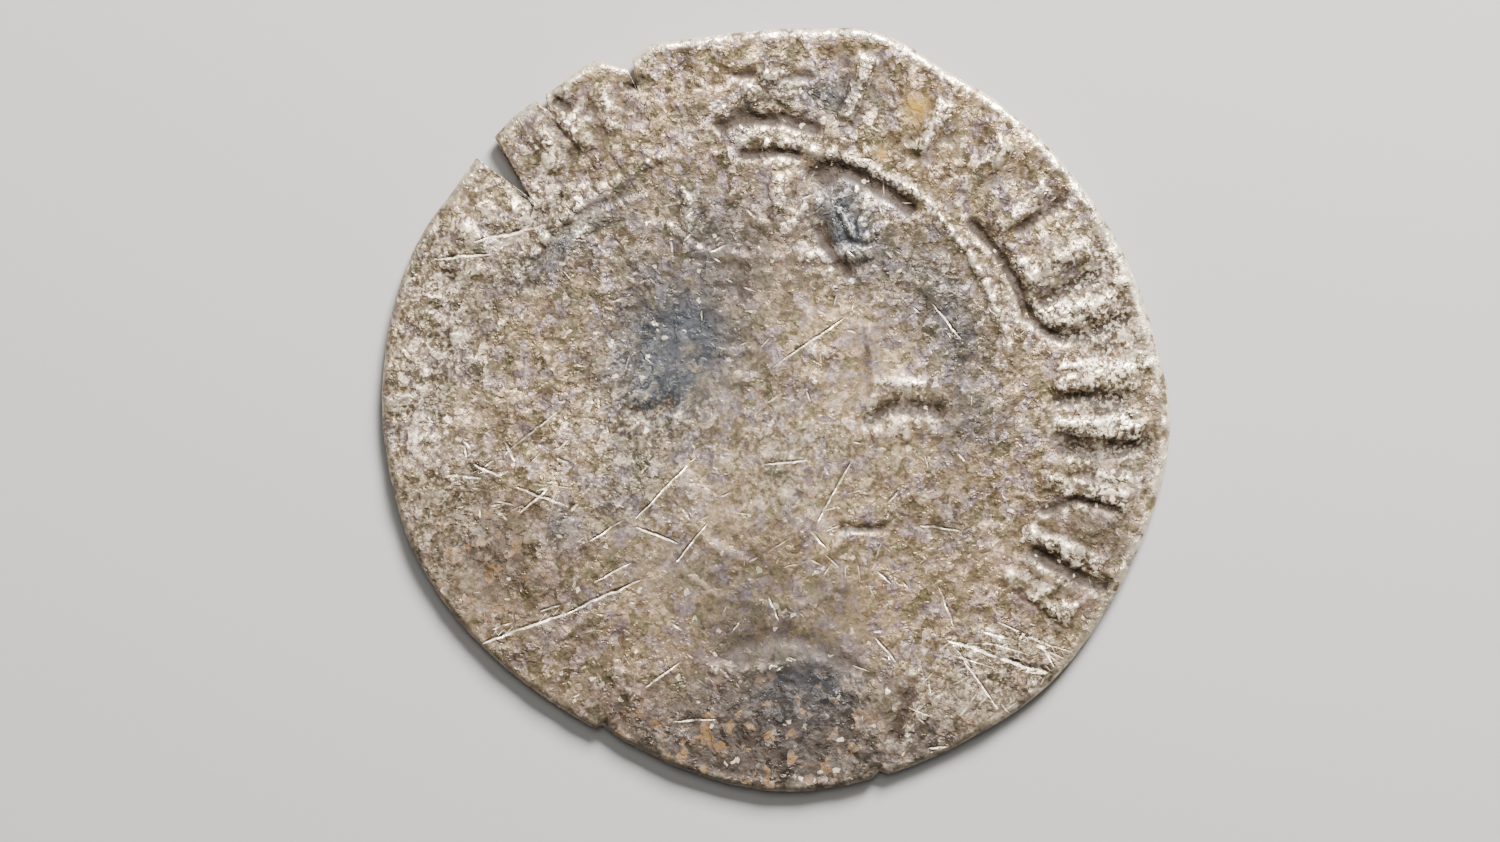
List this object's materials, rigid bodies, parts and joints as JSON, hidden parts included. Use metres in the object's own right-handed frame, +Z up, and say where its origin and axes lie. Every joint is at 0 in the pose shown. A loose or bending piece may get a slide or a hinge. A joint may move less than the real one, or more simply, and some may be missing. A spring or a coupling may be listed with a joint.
{
  "type": "silver penny",
  "caption": "Worn hammered silver penny, split at the rim, with a crowned facing head, a beaded circle and a legend of plain strokes.",
  "frame": {"origin": "middle of the underside, on the plane the coin lies on", "axes": "+Z up out of the obverse, +Y towards the top of the head, +X towards the head's left ear as it faces the viewer"},
  "size_m": [0.0184, 0.018, 0.0007],
  "materials": {
    "worn_silver": "worn, tarnished silver with brown dirt in its hollows"
  },
  "bodies": {
    "root": {"penny": "worn_silver"}
  },
  "joints": []
}
